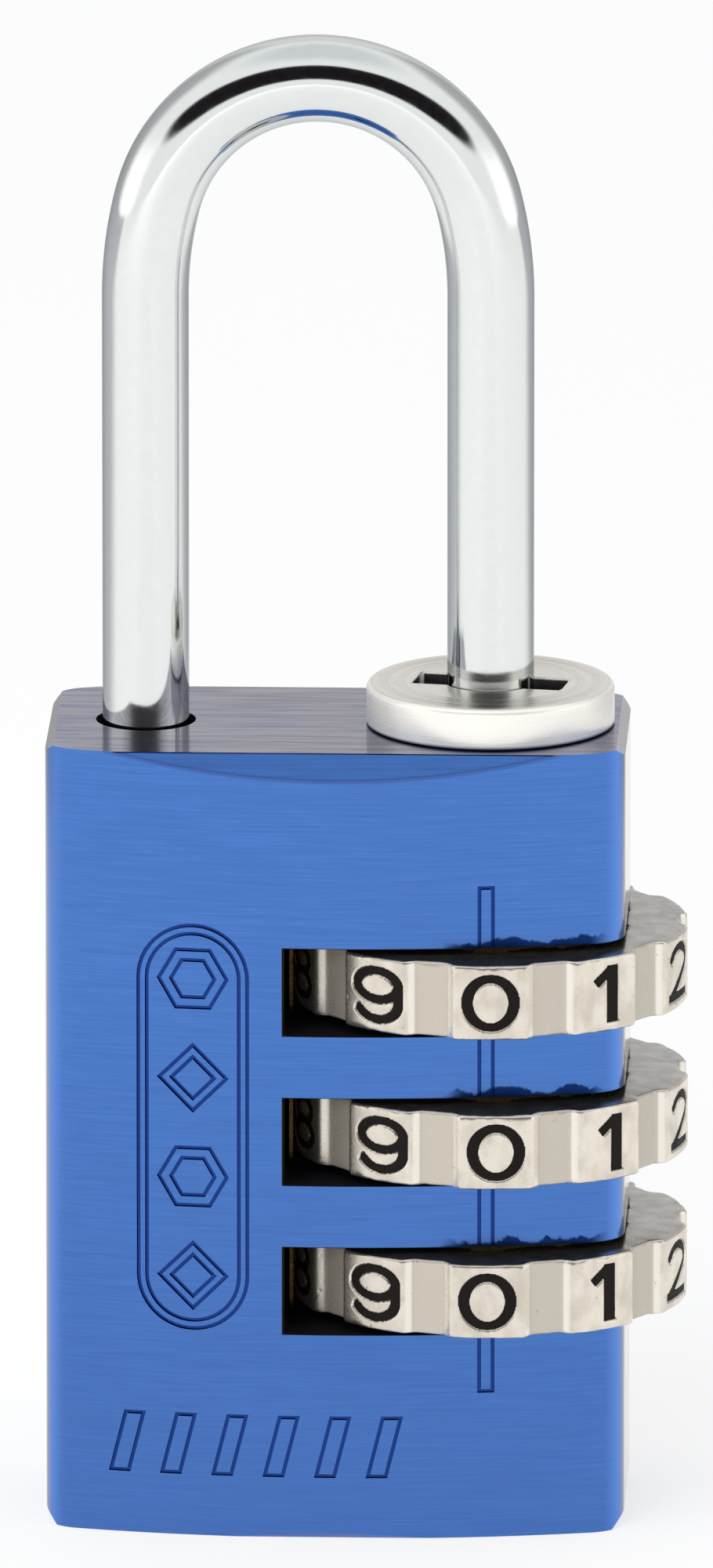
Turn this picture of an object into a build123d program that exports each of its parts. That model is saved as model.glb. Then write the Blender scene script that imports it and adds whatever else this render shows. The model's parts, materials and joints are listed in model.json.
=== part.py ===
"""Three-dial combination padlock, in millimetres.

+X is the viewer's right, -Y the front and +Z up. The origin is the middle of the body's
bottom face. The long leg of the shackle, the collar, the dials and the code sleeves all
share one upright axis to the right of the middle.
"""

from build123d import *
import math
import os

os.makedirs("parts", exist_ok=True)

# ---- body ----
BODY_WIDTH = 20.0
BODY_HEIGHT = 27.7
HALF_DEPTH = 5.6  # crest of the convex front and back faces
FACE_RADIUS = 37.4  # of those faces, seen from above
TOP_BEVEL = 0.8  # 45 degree bevel at the top of the front and back faces
BEVEL_STEP = 0.04  # how far the bevel is sunk below the curve where it meets the face
BOTTOM_BEVEL = 0.15
UPPER_END_BEVEL = (0.3, 0.3)  # across X and along Z, at the left and right ends
LOWER_END_BEVEL = (0.4, 0.5)
EDGE_ROUND = 1.45  # the four upright edges
ENGRAVING_DEPTH = 0.10

# ---- the mechanism's axis and the levels along it ----
AXIS_X = 5.25
DIAL_PITCH = 5.3
DIAL_LEVELS = {"top": 19.4, "middle": 14.1, "bottom": 8.8}  # middle height of each dial
DIAL_REST_TURN = {"top": 1.9, "middle": 3.5, "bottom": 1.0}  # degrees of play at rest
SLOT_HEIGHT = 3.1
SLOT_LEFT = -1.72  # the slots' inner ends
SLOT_CORNER = 0.13
BORE_RADIUS = 3.3  # guides the sleeves through the webs
COUNTERBORE_RADIUS = 3.75  # for the collar above and the spring chamber below
COLLAR_SEAT = 23.15  # bottom of the upper counterbore
CHAMBER_TOP = 7.25  # top of the lower counterbore, which is the lowest slot's floor
KEYWAY_WIDTH = 1.0

# ---- shackle ----
LEG_RADIUS = 1.5
LEG_SPACING = 11.9
BOW_SPRING_LEVEL = 42.73  # where the legs start to curve
BOW_TOP_RADIUS = 5.7  # centre line of the bow's crown
SHOULDER_TURN = 14.5  # degrees that each large shoulder arc turns
SHORT_LEG_TIP = 23.75
LONG_LEG_TIP = 8.9
TIP_CHAMFER = 0.3
LEG_HOLE_RADIUS = 1.73
LEG_HOLE_FLOOR = 23.4
LUG_REACH = 2.5
LUG_HEIGHT = 1.1
LUG_WIDTH_FRONT = 1.5  # the wide wing
LUG_WIDTH_BACK = 0.9  # the narrow wing, so that a dial opens at one number only
LUG_GAP = 0.95  # from a lug up to the flange it is locked under

# ---- collar ----
COLLAR_RADIUS = 4.29
COLLAR_THICKNESS = 1.45
COLLAR_BORE_RADIUS = 1.58
COLLAR_CAVITY_RADIUS = 2.65
COLLAR_CAVITY_TOP = 26.1  # stops the upper lugs at full lift
COLLAR_SLOT = (5.25, 1.76)  # the lugs' way in, length and width
COLLAR_SLOT_TURN = -10.0  # degrees from the X axis
COLLAR_TOP_CHAMFER = 0.24
COLLAR_BOTTOM_CHAMFER = 0.10

# ---- dials ----
NUMBERS = 10
NUMBER_STEP = 360 / NUMBERS
DIAL_HEIGHT = 2.66
DIAL_RADIUS = 6.88  # of the curved faces that carry the numbers
FACE_HALF_ANGLE = 10.6
VALLEY_RADIUS = 6.56
VALLEY_HALF_ANGLE = 4.7
DIAL_CORNER_ROUND = 0.22
DIAL_VALLEY_ROUND = 0.10
DIAL_RIM_CHAMFER = 0.10
DIAL_BORE_RADIUS = 3.25
DIAL_NOTCH_RADIUS = 3.75
DIAL_NOTCH_WIDTH = 0.95
DIAL_BAND_HEIGHT = 0.9  # the notched band at the dial's top
DIAL_RELIEF_RADIUS = 3.8  # clears the sleeve's key below the band
NUMBER_DEPTH = 0.12
PAINT_THICKNESS = 0.08
UPRIGHT_STROKE = 0.34
LEVEL_STROKE = 0.24

# ---- code sleeves, thrust washer, code spring and base plug ----
SLEEVE_RADIUS = 3.2
SLEEVE_CAVITY_RADIUS = 2.6
SLEEVE_LENGTH = 5.25
SLEEVE_TOP_LEVEL = 23.1
FLANGE_THICKNESS = 1.1
FLANGE_BORE_RADIUS = 1.6
SLEEVE_SLOT_FRONT = 1.95
SLEEVE_SLOT_BACK = 1.35
KEY_WIDTH = 0.8
KEY_REACH = 3.65
KEY_HEIGHT = 0.8
KEY_DROP = 0.05  # below the dial's top face
WASHER_LEVEL = 6.6
WASHER_RADIUS = 3.65
WASHER_BORE_RADIUS = 1.8
WASHER_THICKNESS = 0.6
PLUG_THICKNESS = 1.6
PLUG_BOSS = (2.4, 0.8)  # radius and height, inside the spring
PLUG_CHAMFER = 0.15
SPRING_RADIUS = 2.9
SPRING_WIRE = 0.5
SPRING_TURNS = 4

# ---- detent springs ----
POCKET_BACK = -2.9
POCKET_HALF_LENGTH = 4.0
POCKET_HEIGHT = 2.9
LEAF_HEIGHT = 2.4
LEAF_THICKNESS = 0.2
LEAF_NOSE_X = -1.31  # how far the nose reaches into a dial's valley
DETENT_RADIUS = AXIS_X - LEAF_NOSE_X

# ---- engraving on the front face ----
INDEX_X = 5.27
INDEX_WIDTH = 0.59
INDEX_BOTTOM = 5.15
INDEX_TOP = 23.15
LINE_WIDTH = 0.13
BADGE_X = -4.835
BADGE_BOTTOM = 7.31
BADGE_TOP = 21.75
BADGE_WIDTH = 3.9
BADGE_INSET = 0.29  # from the outer line to the inner one
BADGE_SHAPES = 4
SHAPE_RADIUS = 1.25
SHAPE_INSET = 0.42
BAR_ROW_LEFT = -7.5
BAR_ROW_LEVEL = 3.25
BAR_STEP = 1.78
BAR_COUNT = 6
BAR_SIZE = (0.75, 2.2)
BAR_SLANT = 14.0

BEYOND = 20.0  # how far a cutting tool runs past the body


def at_axis(level=0.0):
    """A place on the mechanism's axis at a height."""
    return Location((AXIS_X, 0, level))


def rod(radius, bottom, top, x=AXIS_X):
    """An upright cylinder between two heights."""
    return extrude(Plane((x, 0, bottom)) * Circle(radius), top - bottom)


def block(x_range, y_range, z_range):
    """A box from its three ranges."""
    size = [high - low for low, high in (x_range, y_range, z_range)]
    middle = [(high + low) / 2 for low, high in (x_range, y_range, z_range)]
    return Location(tuple(middle)) * Box(*size)


def prism(points, plane, depth):
    """A polygon drawn on a plane and extruded both ways."""
    return extrude(plane * make_face(Polyline(*points, close=True)), depth, both=True)


# ---- body ----


def body_plan(inset=0.0):
    """The body seen from above: convex front and back faces between flat ends."""
    radius = FACE_RADIUS - inset
    half_width = BODY_WIDTH / 2 - inset
    crest = HALF_DEPTH - inset
    end_y = math.sqrt(radius**2 - half_width**2) - (FACE_RADIUS - HALF_DEPTH)
    corners = [(-half_width, -end_y), (half_width, -end_y), (half_width, end_y), (-half_width, end_y)]
    front = ThreePointArc(corners[0], (0, -crest), corners[1])
    back = ThreePointArc(corners[2], (0, crest), corners[3])
    return make_face([front, Line(corners[1], corners[2]), back, Line(corners[3], corners[0])])


def body_blank():
    """The bar that the lock is cut from, bevelled at its top and ends."""
    plan = body_plan()
    blank = extrude(fillet(plan.vertices(), EDGE_ROUND), BODY_HEIGHT)
    upper_across, upper_along = UPPER_END_BEVEL
    lower_across, lower_along = LOWER_END_BEVEL
    half = BODY_WIDTH / 2
    end_view = [
        (-half + lower_across, 0),
        (half - lower_across, 0),
        (half, lower_along),
        (half, BODY_HEIGHT - upper_along),
        (half - upper_across, BODY_HEIGHT),
        (-half + upper_across, BODY_HEIGHT),
        (-half, BODY_HEIGHT - upper_along),
        (-half, lower_along),
    ]
    side_view = [
        (-HALF_DEPTH + BOTTOM_BEVEL, 0),
        (HALF_DEPTH - BOTTOM_BEVEL, 0),
        (HALF_DEPTH, BOTTOM_BEVEL),
        (HALF_DEPTH, BODY_HEIGHT - TOP_BEVEL),
        (HALF_DEPTH - TOP_BEVEL, BODY_HEIGHT),
        (-HALF_DEPTH + TOP_BEVEL, BODY_HEIGHT),
        (-HALF_DEPTH, BODY_HEIGHT - TOP_BEVEL),
        (-HALF_DEPTH, BOTTOM_BEVEL),
    ]
    blank &= prism(end_view, Plane.XZ, BEYOND)
    blank &= prism(side_view, Plane.YZ, BEYOND)
    for bevel_normal in (Vector(0, -1, 1), Vector(0, 1, 1)):
        bevel = blank.faces().sort_by(lambda face: face.normal_at().dot(bevel_normal))[-1]
        blank -= extrude(bevel, BEVEL_STEP, both=True)
    return blank


def dial_slot(level):
    """The window that a dial turns in, with the detent spring's pocket at its inner end."""
    length = BEYOND - SLOT_LEFT
    window = Plane.XZ * Pos(SLOT_LEFT + length / 2, level) * RectangleRounded(
        length, SLOT_HEIGHT, SLOT_CORNER
    )
    reach = (-POCKET_HALF_LENGTH, POCKET_HALF_LENGTH)
    height = (level - POCKET_HEIGHT / 2, level + POCKET_HEIGHT / 2)
    pocket = block((POCKET_BACK, SLOT_LEFT + SLOT_CORNER), reach, height)
    return [extrude(window, BEYOND, both=True), pocket]


def outline(sketch, line=LINE_WIDTH):
    """A closed line of even width just inside a shape's edge."""
    return sketch - offset(sketch, -line)


def badge():
    """A double capsule outline with plain concentric shapes down its middle."""
    middle = (BADGE_TOP + BADGE_BOTTOM) / 2
    length = BADGE_TOP - BADGE_BOTTOM
    capsule = Rot(0, 0, 90) * SlotOverall(length, BADGE_WIDTH)
    inner_capsule = Rot(0, 0, 90) * SlotOverall(
        length - 2 * BADGE_INSET, BADGE_WIDTH - 2 * BADGE_INSET
    )
    lines = [Pos(BADGE_X, middle) * outline(capsule), Pos(BADGE_X, middle) * outline(inner_capsule)]
    step = (length - BADGE_WIDTH) / (BADGE_SHAPES - 1)
    for number in range(BADGE_SHAPES):
        height = BADGE_BOTTOM + BADGE_WIDTH / 2 + number * step
        sides = 6 if number % 2 else 4
        for radius in (SHAPE_RADIUS, SHAPE_RADIUS - SHAPE_INSET):
            lines.append(Pos(BADGE_X, height) * outline(RegularPolygon(radius, sides)))
    return lines


def bar_row():
    """A row of slanted outlined bars under the badge."""
    slide = BAR_SIZE[1] * math.tan(math.radians(BAR_SLANT)) / 2
    half = BAR_SIZE[0] / 2
    tall = BAR_SIZE[1] / 2
    corners = [(-half - slide, -tall), (half - slide, -tall), (half + slide, tall), (-half + slide, tall)]
    bar = outline(make_face(Polyline(*corners, close=True)))
    places = [BAR_ROW_LEFT + half + number * BAR_STEP for number in range(BAR_COUNT)]
    return [Pos(x, BAR_ROW_LEVEL) * bar for x in places]


def index_mark():
    """The outlined bar that the chosen numbers are read against."""
    height = INDEX_TOP - INDEX_BOTTOM
    return outline(Pos(INDEX_X, INDEX_BOTTOM + height / 2) * Rectangle(INDEX_WIDTH, height))


def engraving():
    """The lines cut to an even depth into the convex front face."""
    core = extrude(body_plan(ENGRAVING_DEPTH), BODY_HEIGHT)
    cuts = []
    for lines in [*badge(), *bar_row(), index_mark()]:
        cuts.append(extrude(Plane.XZ * lines, BEYOND) - core)
    return cuts


def body():
    part = body_blank()
    for level in DIAL_LEVELS.values():
        part -= dial_slot(level)
    part -= rod(BORE_RADIUS, 0, BODY_HEIGHT)
    part -= rod(COUNTERBORE_RADIUS, COLLAR_SEAT, BODY_HEIGHT)
    part -= rod(COUNTERBORE_RADIUS, 0, CHAMBER_TOP)
    half = KEYWAY_WIDTH / 2
    keyway = block((AXIS_X - half, AXIS_X + half), (0, COUNTERBORE_RADIUS), (0, COLLAR_SEAT))
    part -= keyway & rod(COUNTERBORE_RADIUS, 0, COLLAR_SEAT)
    part -= rod(LEG_HOLE_RADIUS, LEG_HOLE_FLOOR, BODY_HEIGHT, AXIS_X - LEG_SPACING)
    part -= engraving()
    return part


# ---- collar, base plug and washer ----


def collar():
    top = BODY_HEIGHT + COLLAR_THICKNESS
    flange = rod(COLLAR_RADIUS, BODY_HEIGHT, top)
    rims = flange.edges().filter_by(GeomType.CIRCLE).sort_by(Axis.Z)
    flange = chamfer(rims[-1], COLLAR_TOP_CHAMFER)
    rims = flange.edges().filter_by(GeomType.CIRCLE).sort_by(Axis.Z)
    flange = chamfer(rims[0], COLLAR_BOTTOM_CHAMFER)
    part = flange + rod(COUNTERBORE_RADIUS, COLLAR_SEAT, BODY_HEIGHT)
    part -= rod(COLLAR_CAVITY_RADIUS, COLLAR_SEAT, COLLAR_CAVITY_TOP)
    part -= rod(COLLAR_BORE_RADIUS, COLLAR_SEAT, top)
    way_in = at_axis() * Rot(0, 0, COLLAR_SLOT_TURN) * Rectangle(*COLLAR_SLOT)
    part -= Pos(0, 0, COLLAR_SEAT) * extrude(way_in, top - COLLAR_SEAT)
    return part


def base_plug():
    boss_radius, boss_height = PLUG_BOSS
    disc = rod(COUNTERBORE_RADIUS, 0, PLUG_THICKNESS)
    lower_rim = disc.edges().filter_by(GeomType.CIRCLE).sort_by(Axis.Z)[0]
    disc = chamfer(lower_rim, PLUG_CHAMFER)
    return disc + rod(boss_radius, PLUG_THICKNESS, PLUG_THICKNESS + boss_height)


def thrust_washer():
    top = WASHER_LEVEL + WASHER_THICKNESS
    return rod(WASHER_RADIUS, WASHER_LEVEL, top) - rod(WASHER_BORE_RADIUS, WASHER_LEVEL, top)


def code_spring():
    """A coil spring that stands between the plug and the washer."""
    room = WASHER_LEVEL - PLUG_THICKNESS - SPRING_WIRE - 0.04
    path = Helix(room / SPRING_TURNS, room, SPRING_RADIUS)
    section = Plane(path @ 0, z_dir=path % 0) * Circle(SPRING_WIRE / 2)
    coil = sweep(section, path)
    return at_axis(PLUG_THICKNESS + SPRING_WIRE / 2 + 0.02) * coil


# ---- shackle ----


def shackle_path():
    """The centre line: long leg, shoulder, crown, shoulder, short leg."""
    half = LEG_SPACING / 2
    turn = math.radians(SHOULDER_TURN)
    shoulder = (half - BOW_TOP_RADIUS * math.cos(turn)) / (1 - math.cos(turn))
    crown_level = BOW_SPRING_LEVEL + (shoulder - BOW_TOP_RADIUS) * math.sin(turn)
    middle = AXIS_X - half

    def on_bow(centre_x, centre_z, radius, angle, side):
        x = middle + side * (centre_x + radius * math.cos(angle))
        return (x, 0, centre_z + radius * math.sin(angle))

    def shoulder_point(angle, side):
        return on_bow(half - shoulder, BOW_SPRING_LEVEL, shoulder, angle, side)

    right = [shoulder_point(angle, 1) for angle in (0, turn / 2, turn)]
    left = [shoulder_point(angle, -1) for angle in (turn, turn / 2, 0)]
    crown = on_bow(0, crown_level, BOW_TOP_RADIUS, math.pi / 2, 1)
    return Wire(
        [
            Line((AXIS_X, 0, LONG_LEG_TIP), right[0]),
            ThreePointArc(*right),
            ThreePointArc(right[2], crown, left[0]),
            ThreePointArc(*left),
            Line(left[2], (AXIS_X - LEG_SPACING, 0, SHORT_LEG_TIP)),
        ]
    )


def lug(level):
    """Two wings pressed out of the long leg, wide at the front and narrow at the back."""
    half_front = LUG_WIDTH_FRONT / 2
    half_back = LUG_WIDTH_BACK / 2
    height = (level - LUG_HEIGHT, level)
    wings = block((AXIS_X - half_front, AXIS_X + half_front), (-LUG_REACH, 0), height)
    wings += block((AXIS_X - half_back, AXIS_X + half_back), (0, LUG_REACH), height)
    return wings & rod(LUG_REACH, *height)


def shackle():
    path = shackle_path()
    part = sweep(Plane((AXIS_X, 0, LONG_LEG_TIP)) * Circle(LEG_RADIUS), path)
    tips = part.edges().filter_by(GeomType.CIRCLE).filter_by(Plane.XY)
    long_tip = tips.sort_by(Axis.Z)[0]
    short_tip = tips.group_by(Axis.X)[0].sort_by(Axis.Z)[0]
    part = chamfer([long_tip, short_tip], TIP_CHAMFER)
    for number in range(len(DIAL_LEVELS)):
        flange_bottom = SLEEVE_TOP_LEVEL - FLANGE_THICKNESS - number * DIAL_PITCH
        part += lug(flange_bottom - LUG_GAP)
    return part


# ---- dials and their numbers ----


def band(x, y, x_radius, y_radius):
    """A closed elliptical stroke, wider where it is upright than where it is level."""
    outer = Ellipse(x_radius + UPRIGHT_STROKE / 2, y_radius + LEVEL_STROKE / 2)
    return Pos(x, y) * (outer - Ellipse(x_radius - UPRIGHT_STROKE / 2, y_radius - LEVEL_STROKE / 2))


def bow(x, y, x_radius, y_radius, start, turn):
    """Part of a band from a start angle through a turn, in degrees, with round ends."""
    fan = [(x, y)]
    for step in range(7):
        angle = math.radians(start + turn * step / 6)
        fan.append((x + 4 * math.cos(angle), y + 4 * math.sin(angle)))
    part = band(x, y, x_radius, y_radius) & make_face(Polyline(*fan, close=True))
    for end in (start, start + turn):
        angle = math.radians(end)
        reach = 1 / math.hypot(math.cos(angle) / x_radius, math.sin(angle) / y_radius)
        place = Pos(x + reach * math.cos(angle), y + reach * math.sin(angle))
        part += place * Circle(LEVEL_STROKE / 2)
    return part


def bar(x_range, y_range):
    """An upright or level stroke from its two ranges."""
    width, height = [high - low for low, high in (x_range, y_range)]
    return Pos(sum(x_range) / 2, sum(y_range) / 2) * Rectangle(width, height)


def slope(start, end):
    """A slanting stroke."""
    return trace(Line(start, end), (UPRIGHT_STROKE + LEVEL_STROKE) / 2)


def nine():
    """A bowl whose right side runs on down into an open tail."""
    middle = 0.12
    half_width = 0.85
    right = middle + half_width
    stem = bar((right - UPRIGHT_STROKE / 2, right + UPRIGHT_STROKE / 2), (-0.29, 0.34))
    bowl = band(middle, 0.34, half_width, 0.51)
    return Sketch() + [bowl, stem, bow(middle, -0.29, half_width, 0.58, 0, -162)]


def glyph(number):
    """The strokes of one number, drawn about its own middle."""
    top = 0.98
    base = (-top, -top + LEVEL_STROKE)
    if number == 0:
        return [band(0, 0, top - UPRIGHT_STROKE / 2, top - LEVEL_STROKE / 2)]
    if number == 1:
        return [bar((0.0, 0.46), (-top, top)), slope((0.14, 0.86), (-0.44, 0.42))]
    if number == 2:
        return [bow(0, 0.36, 0.74, 0.50, 170, -200), slope((0.62, 0.10), (-0.72, -0.82)), bar((-0.92, 0.92), base)]
    if number == 3:
        return [bow(-0.05, 0.44, 0.66, 0.42, 155, -245), bow(-0.05, -0.41, 0.76, 0.45, 90, -245)]
    if number == 4:
        upright = bar((0.20, 0.20 + UPRIGHT_STROKE), (-top, top))
        return [upright, slope((0.36, 0.86), (-0.82, -0.40)), bar((-0.96, 0.94), (-0.56, -0.56 + LEVEL_STROKE))]
    if number == 5:
        upright = bar((-0.78, -0.78 + UPRIGHT_STROKE), (-0.02, top))
        return [bar((-0.78, 0.80), (top - LEVEL_STROKE, top)), upright, bow(-0.03, -0.31, 0.80, 0.55, 140, -290)]
    if number == 6:
        return [Rot(0, 0, 180) * nine()]
    if number == 7:
        return [bar((-0.92, 0.92), (top - LEVEL_STROKE, top)), slope((0.74, 0.82), (-0.30, -0.86))]
    if number == 8:
        return [band(0, 0.44, 0.66, 0.42), band(0, -0.41, 0.76, 0.45)]
    return [nine()]


def number_solids(level, turn, inner_radius, outer_radius):
    """Every number as a curved plate between two radii of its dial."""
    height = (level - DIAL_HEIGHT, level + DIAL_HEIGHT)
    shell = rod(outer_radius, *height) - rod(inner_radius, *height)
    plates = []
    for number in range(NUMBERS):
        angle = math.radians(-90 + NUMBER_STEP * number + turn)
        outwards = Vector(math.cos(angle), math.sin(angle), 0)
        rightwards = Vector(-math.sin(angle), math.cos(angle), 0)
        plane = Plane(Vector(AXIS_X, 0, level) + outwards, x_dir=rightwards, z_dir=outwards)
        plates.append(extrude(plane * (Sketch() + glyph(number)), outer_radius) & shell)
    return plates


def dial_plan():
    """Ten curved faces with a finger valley between each two."""

    def place(radius, angle):
        turn = math.radians(angle)
        return (radius * math.cos(turn), radius * math.sin(turn))

    edges = []
    for number in range(NUMBERS):
        middle = -90 + NUMBER_STEP * number
        valley = middle + NUMBER_STEP / 2
        start = place(DIAL_RADIUS, middle - FACE_HALF_ANGLE)
        end = place(DIAL_RADIUS, middle + FACE_HALF_ANGLE)
        down = place(VALLEY_RADIUS, valley - VALLEY_HALF_ANGLE)
        up = place(VALLEY_RADIUS, valley + VALLEY_HALF_ANGLE)
        following = place(DIAL_RADIUS, middle + NUMBER_STEP - FACE_HALF_ANGLE)
        face = ThreePointArc(start, place(DIAL_RADIUS, middle), end)
        edges += [face, Line(end, down), Line(down, up), Line(up, following)]
    plan = make_face(edges)
    border = (DIAL_RADIUS + VALLEY_RADIUS) / 2
    outer = [v for v in plan.vertices() if Vector(v.X, v.Y, 0).length > border]
    plan = fillet(outer, DIAL_CORNER_ROUND)
    inner = [v for v in plan.vertices() if Vector(v.X, v.Y, 0).length < VALLEY_RADIUS + 0.01]
    return fillet(inner, DIAL_VALLEY_ROUND)


def dial(level, turn):
    part = extrude(dial_plan(), DIAL_HEIGHT)
    rims = part.faces().sort_by(Axis.Z)[0].edges() + part.faces().sort_by(Axis.Z)[-1].edges()
    part = chamfer(rims, DIAL_RIM_CHAMFER)
    part -= extrude(Circle(DIAL_BORE_RADIUS), DIAL_HEIGHT)
    part -= extrude(Circle(DIAL_RELIEF_RADIUS), DIAL_HEIGHT - DIAL_BAND_HEIGHT)
    notch = Pos(DIAL_NOTCH_RADIUS / 2, 0) * Rectangle(DIAL_NOTCH_RADIUS, DIAL_NOTCH_WIDTH)
    notch = extrude(notch, DIAL_HEIGHT) & extrude(Circle(DIAL_NOTCH_RADIUS), DIAL_HEIGHT)
    part -= [Rot(0, 0, -90 + NUMBER_STEP * number) * notch for number in range(NUMBERS)]
    part = at_axis(level - DIAL_HEIGHT / 2) * Rot(0, 0, turn) * part
    part -= number_solids(level, turn, DIAL_RADIUS - NUMBER_DEPTH, DIAL_RADIUS + NUMBER_DEPTH)
    return part


def digits(level, turn):
    """The black filling in the engraved numbers."""
    floor = DIAL_RADIUS - NUMBER_DEPTH
    return Compound(children=number_solids(level, turn, floor, floor + PAINT_THICKNESS))


# ---- code sleeves ----


def sleeve(level, turn):
    """A code sleeve: a keyed tube with an inner flange that the lug passes at one number."""
    top = SLEEVE_TOP_LEVEL + level - DIAL_LEVELS["top"]
    bottom = top - SLEEVE_LENGTH
    flange_bottom = top - FLANGE_THICKNESS
    part = rod(SLEEVE_RADIUS, bottom, top) - rod(SLEEVE_CAVITY_RADIUS, bottom, flange_bottom)
    part -= rod(FLANGE_BORE_RADIUS, bottom, top)
    half_front = SLEEVE_SLOT_FRONT / 2
    half_back = SLEEVE_SLOT_BACK / 2
    passage = block((AXIS_X - half_front, AXIS_X + half_front), (-SLEEVE_RADIUS, 0), (bottom, top))
    passage += block((AXIS_X - half_back, AXIS_X + half_back), (0, SLEEVE_RADIUS), (bottom, top))
    part -= passage & rod(SLEEVE_CAVITY_RADIUS, bottom, top)
    key_top = level + DIAL_HEIGHT / 2 - KEY_DROP
    key_height = (key_top - KEY_HEIGHT, key_top)
    wall = (SLEEVE_RADIUS + SLEEVE_CAVITY_RADIUS) / 2
    key = block((AXIS_X - KEY_WIDTH / 2, AXIS_X + KEY_WIDTH / 2), (wall, KEY_REACH), key_height)
    part += key
    return at_axis() * Rot(0, 0, turn) * at_axis().inverse() * part


# ---- detent springs ----


def detent_spring(level, turn):
    """A bent leaf whose nose rests in a valley; it floats endwise with its dial's play."""
    back = POCKET_BACK + 0.15
    upper_half = [
        (LEAF_NOSE_X - LEAF_THICKNESS, 0),
        (back, 1.5),
        (back, 2.3),
        (back + 1.25, 3.35),
    ]
    lower_half = [(x, -y) for x, y in reversed(upper_half[1:])]
    strip = trace(FilletPolyline(*lower_half, *upper_half, radius=0.2), LEAF_THICKNESS)
    leaf = extrude(strip, LEAF_HEIGHT)
    drift = -DETENT_RADIUS * math.sin(math.radians(turn))
    return Pos(0, drift, level - LEAF_HEIGHT / 2) * leaf


def main():
    parts = {
        "body": body(),
        "collar": collar(),
        "shackle": shackle(),
        "base_plug": base_plug(),
        "thrust_washer": thrust_washer(),
        "code_spring": code_spring(),
    }
    for name, level in DIAL_LEVELS.items():
        turn = DIAL_REST_TURN[name]
        parts[f"dial_{name}"] = dial(level, turn)
        parts[f"digits_{name}"] = digits(level, turn)
        parts[f"sleeve_{name}"] = sleeve(level, turn)
        parts[f"detent_spring_{name}"] = detent_spring(level, turn)
    for name, part in parts.items():
        export_step(part, f"parts/{name}.step")


main()
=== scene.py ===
"""The looks of a three-dial combination padlock.

Finer meshes replace the shackle, collar and dials, and a copy replaces the code spring. Every
other piece is its CAD node with a procedural material. Lengths are in metres, made from
millimetres by MM; the materials work in millimetres.
"""

import json
import math

import bpy
import numpy as np
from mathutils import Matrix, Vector, noise
from mathutils.bvhtree import BVHTree


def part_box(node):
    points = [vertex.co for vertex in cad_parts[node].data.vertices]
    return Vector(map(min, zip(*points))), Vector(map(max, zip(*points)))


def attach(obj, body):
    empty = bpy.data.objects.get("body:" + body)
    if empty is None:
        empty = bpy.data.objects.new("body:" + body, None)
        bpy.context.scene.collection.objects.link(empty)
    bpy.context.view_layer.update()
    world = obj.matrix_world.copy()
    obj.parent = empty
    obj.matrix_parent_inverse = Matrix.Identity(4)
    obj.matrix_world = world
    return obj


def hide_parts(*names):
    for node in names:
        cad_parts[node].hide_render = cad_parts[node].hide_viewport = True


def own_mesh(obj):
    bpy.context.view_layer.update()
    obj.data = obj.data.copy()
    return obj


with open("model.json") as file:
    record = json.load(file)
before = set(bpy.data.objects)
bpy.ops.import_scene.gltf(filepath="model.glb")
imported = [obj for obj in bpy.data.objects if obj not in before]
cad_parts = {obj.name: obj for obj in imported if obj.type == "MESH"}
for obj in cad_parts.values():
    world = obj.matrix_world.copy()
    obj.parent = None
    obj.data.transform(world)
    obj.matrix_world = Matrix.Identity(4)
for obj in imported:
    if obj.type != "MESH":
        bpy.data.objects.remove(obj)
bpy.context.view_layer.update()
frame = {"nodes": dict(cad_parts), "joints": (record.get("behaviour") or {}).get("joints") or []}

MM = 0.001
DIALS = ("top", "middle", "bottom")
JOINTS = {joint["name"]: joint for joint in frame["joints"]}
AXIS_X = JOINTS["dial_top_spin"]["pos_m"][0]

# ---- body ----
BODY_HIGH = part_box("body")[1]
BODY_TOP = BODY_HIGH.z
HALF_DEPTH = BODY_HIGH.y
FACE_RADIUS = 37.4 * MM
TOP_BEVEL = 0.8 * MM
SLOT_HEIGHT = 3.1 * MM
SLOT_LEFT = -1.72 * MM
POCKET_BACK = -2.9 * MM
COUNTERBORE_RADIUS = 3.75 * MM
LEG_HOLE_RADIUS = 1.73 * MM

# ---- shackle ----
SHACKLE_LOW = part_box("shackle")[0]
LEG_RADIUS = 1.5 * MM
LEG_X = (SHACKLE_LOW.x + LEG_RADIUS, AXIS_X)
SHORT_LEG_TIP = 23.75 * MM
BOW_SPRING_LEVEL = 42.73 * MM
BOW_TOP_RADIUS = 5.7 * MM
SHOULDER_TURN = math.radians(14.5)
TIP_CHAMFER = 0.3 * MM
LUG_REACH = 2.5 * MM
LUG_HEIGHT = 1.1 * MM
LUG_HALF_WIDTHS = (0.75 * MM, 0.45 * MM)  # of the front wing and the back wing
TOP_LUG_LEVEL = 21.05 * MM
DIAL_PITCH = 5.3 * MM

# ---- dials ----
NUMBERS = 10
NUMBER_STEP = math.tau / NUMBERS
REST_TURN = {"top": 1.9, "middle": 3.5, "bottom": 1.0}  # degrees
DIAL_HEIGHT = 2.66 * MM
DIAL_RADIUS = 6.88 * MM
FACE_HALF_ANGLE = math.radians(10.6)
VALLEY_RADIUS = 6.56 * MM
VALLEY_HALF_ANGLE = math.radians(4.7)
PLAN_SOFTNESS = 0.05 * MM
DIAL_LEVELS = [JOINTS[f"dial_{which}_spin"]["pos_m"][2] for which in DIALS]
DIAL_BORE_RADIUS = 3.25 * MM
NOTCH_RADIUS = 3.75 * MM
NOTCH_WIDTH = 0.95 * MM
RELIEF_RADIUS = 3.8 * MM
BAND_HEIGHT = 0.9 * MM
NUMBER_DEPTH = 0.13 * MM
PAINT_DROP = 0.04 * MM  # from a face down to the paint in its number
LIP_WIDTH = 0.04 * MM
RIM_ROUND = 0.13 * MM
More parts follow.
